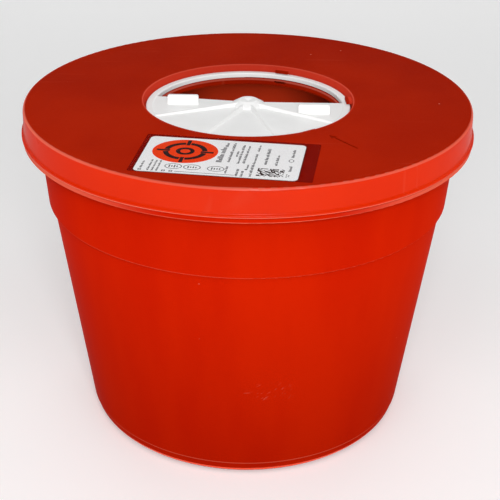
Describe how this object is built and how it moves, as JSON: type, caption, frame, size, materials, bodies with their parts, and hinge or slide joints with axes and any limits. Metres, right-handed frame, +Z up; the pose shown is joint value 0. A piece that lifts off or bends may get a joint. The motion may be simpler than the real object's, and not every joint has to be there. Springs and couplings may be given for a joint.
{
  "type": "sharps container",
  "caption": "Round tapered plastic tub with a flat press-on lid, a turning half-moon closure in a sunken well and a plain adhesive label.",
  "frame": {"origin": "centre of the base, on the surface the tub stands on", "axes": "+Z up along the tub's axis, -Y towards the label side of the lid, +X to the right seen from the label side"},
  "size_m": [0.2774, 0.2774, 0.2114],
  "materials": {
    "red_tub_plastic": "semi-gloss injection-moulded polypropylene",
    "red_lid_plastic": "satin fine-textured polypropylene with a smoother skirt",
    "white_plastic": "semi-gloss white polypropylene",
    "label_white": "printed white label stock",
    "clear_film": "clear adhesive film"
  },
  "bodies": {
    "tub": {"tub": "red_tub_plastic"},
    "lid": {"lid": "red_lid_plastic", "label_stock": "label_white", "label_film": "clear_film"},
    "rotor": {"rotor": "white_plastic"}
  },
  "joints": [
    {"name": "lid_lift", "type": "slide", "parent": "tub", "child": "lid", "axis": [0, 0, 1], "range_m": [0, 0.06]},
    {"name": "rotor_turn", "type": "hinge", "parent": "lid", "child": "rotor", "pos_m": [0, 0, 0.2], "axis": [0, 0, 1], "range_deg": [0, 180]}
  ]
}
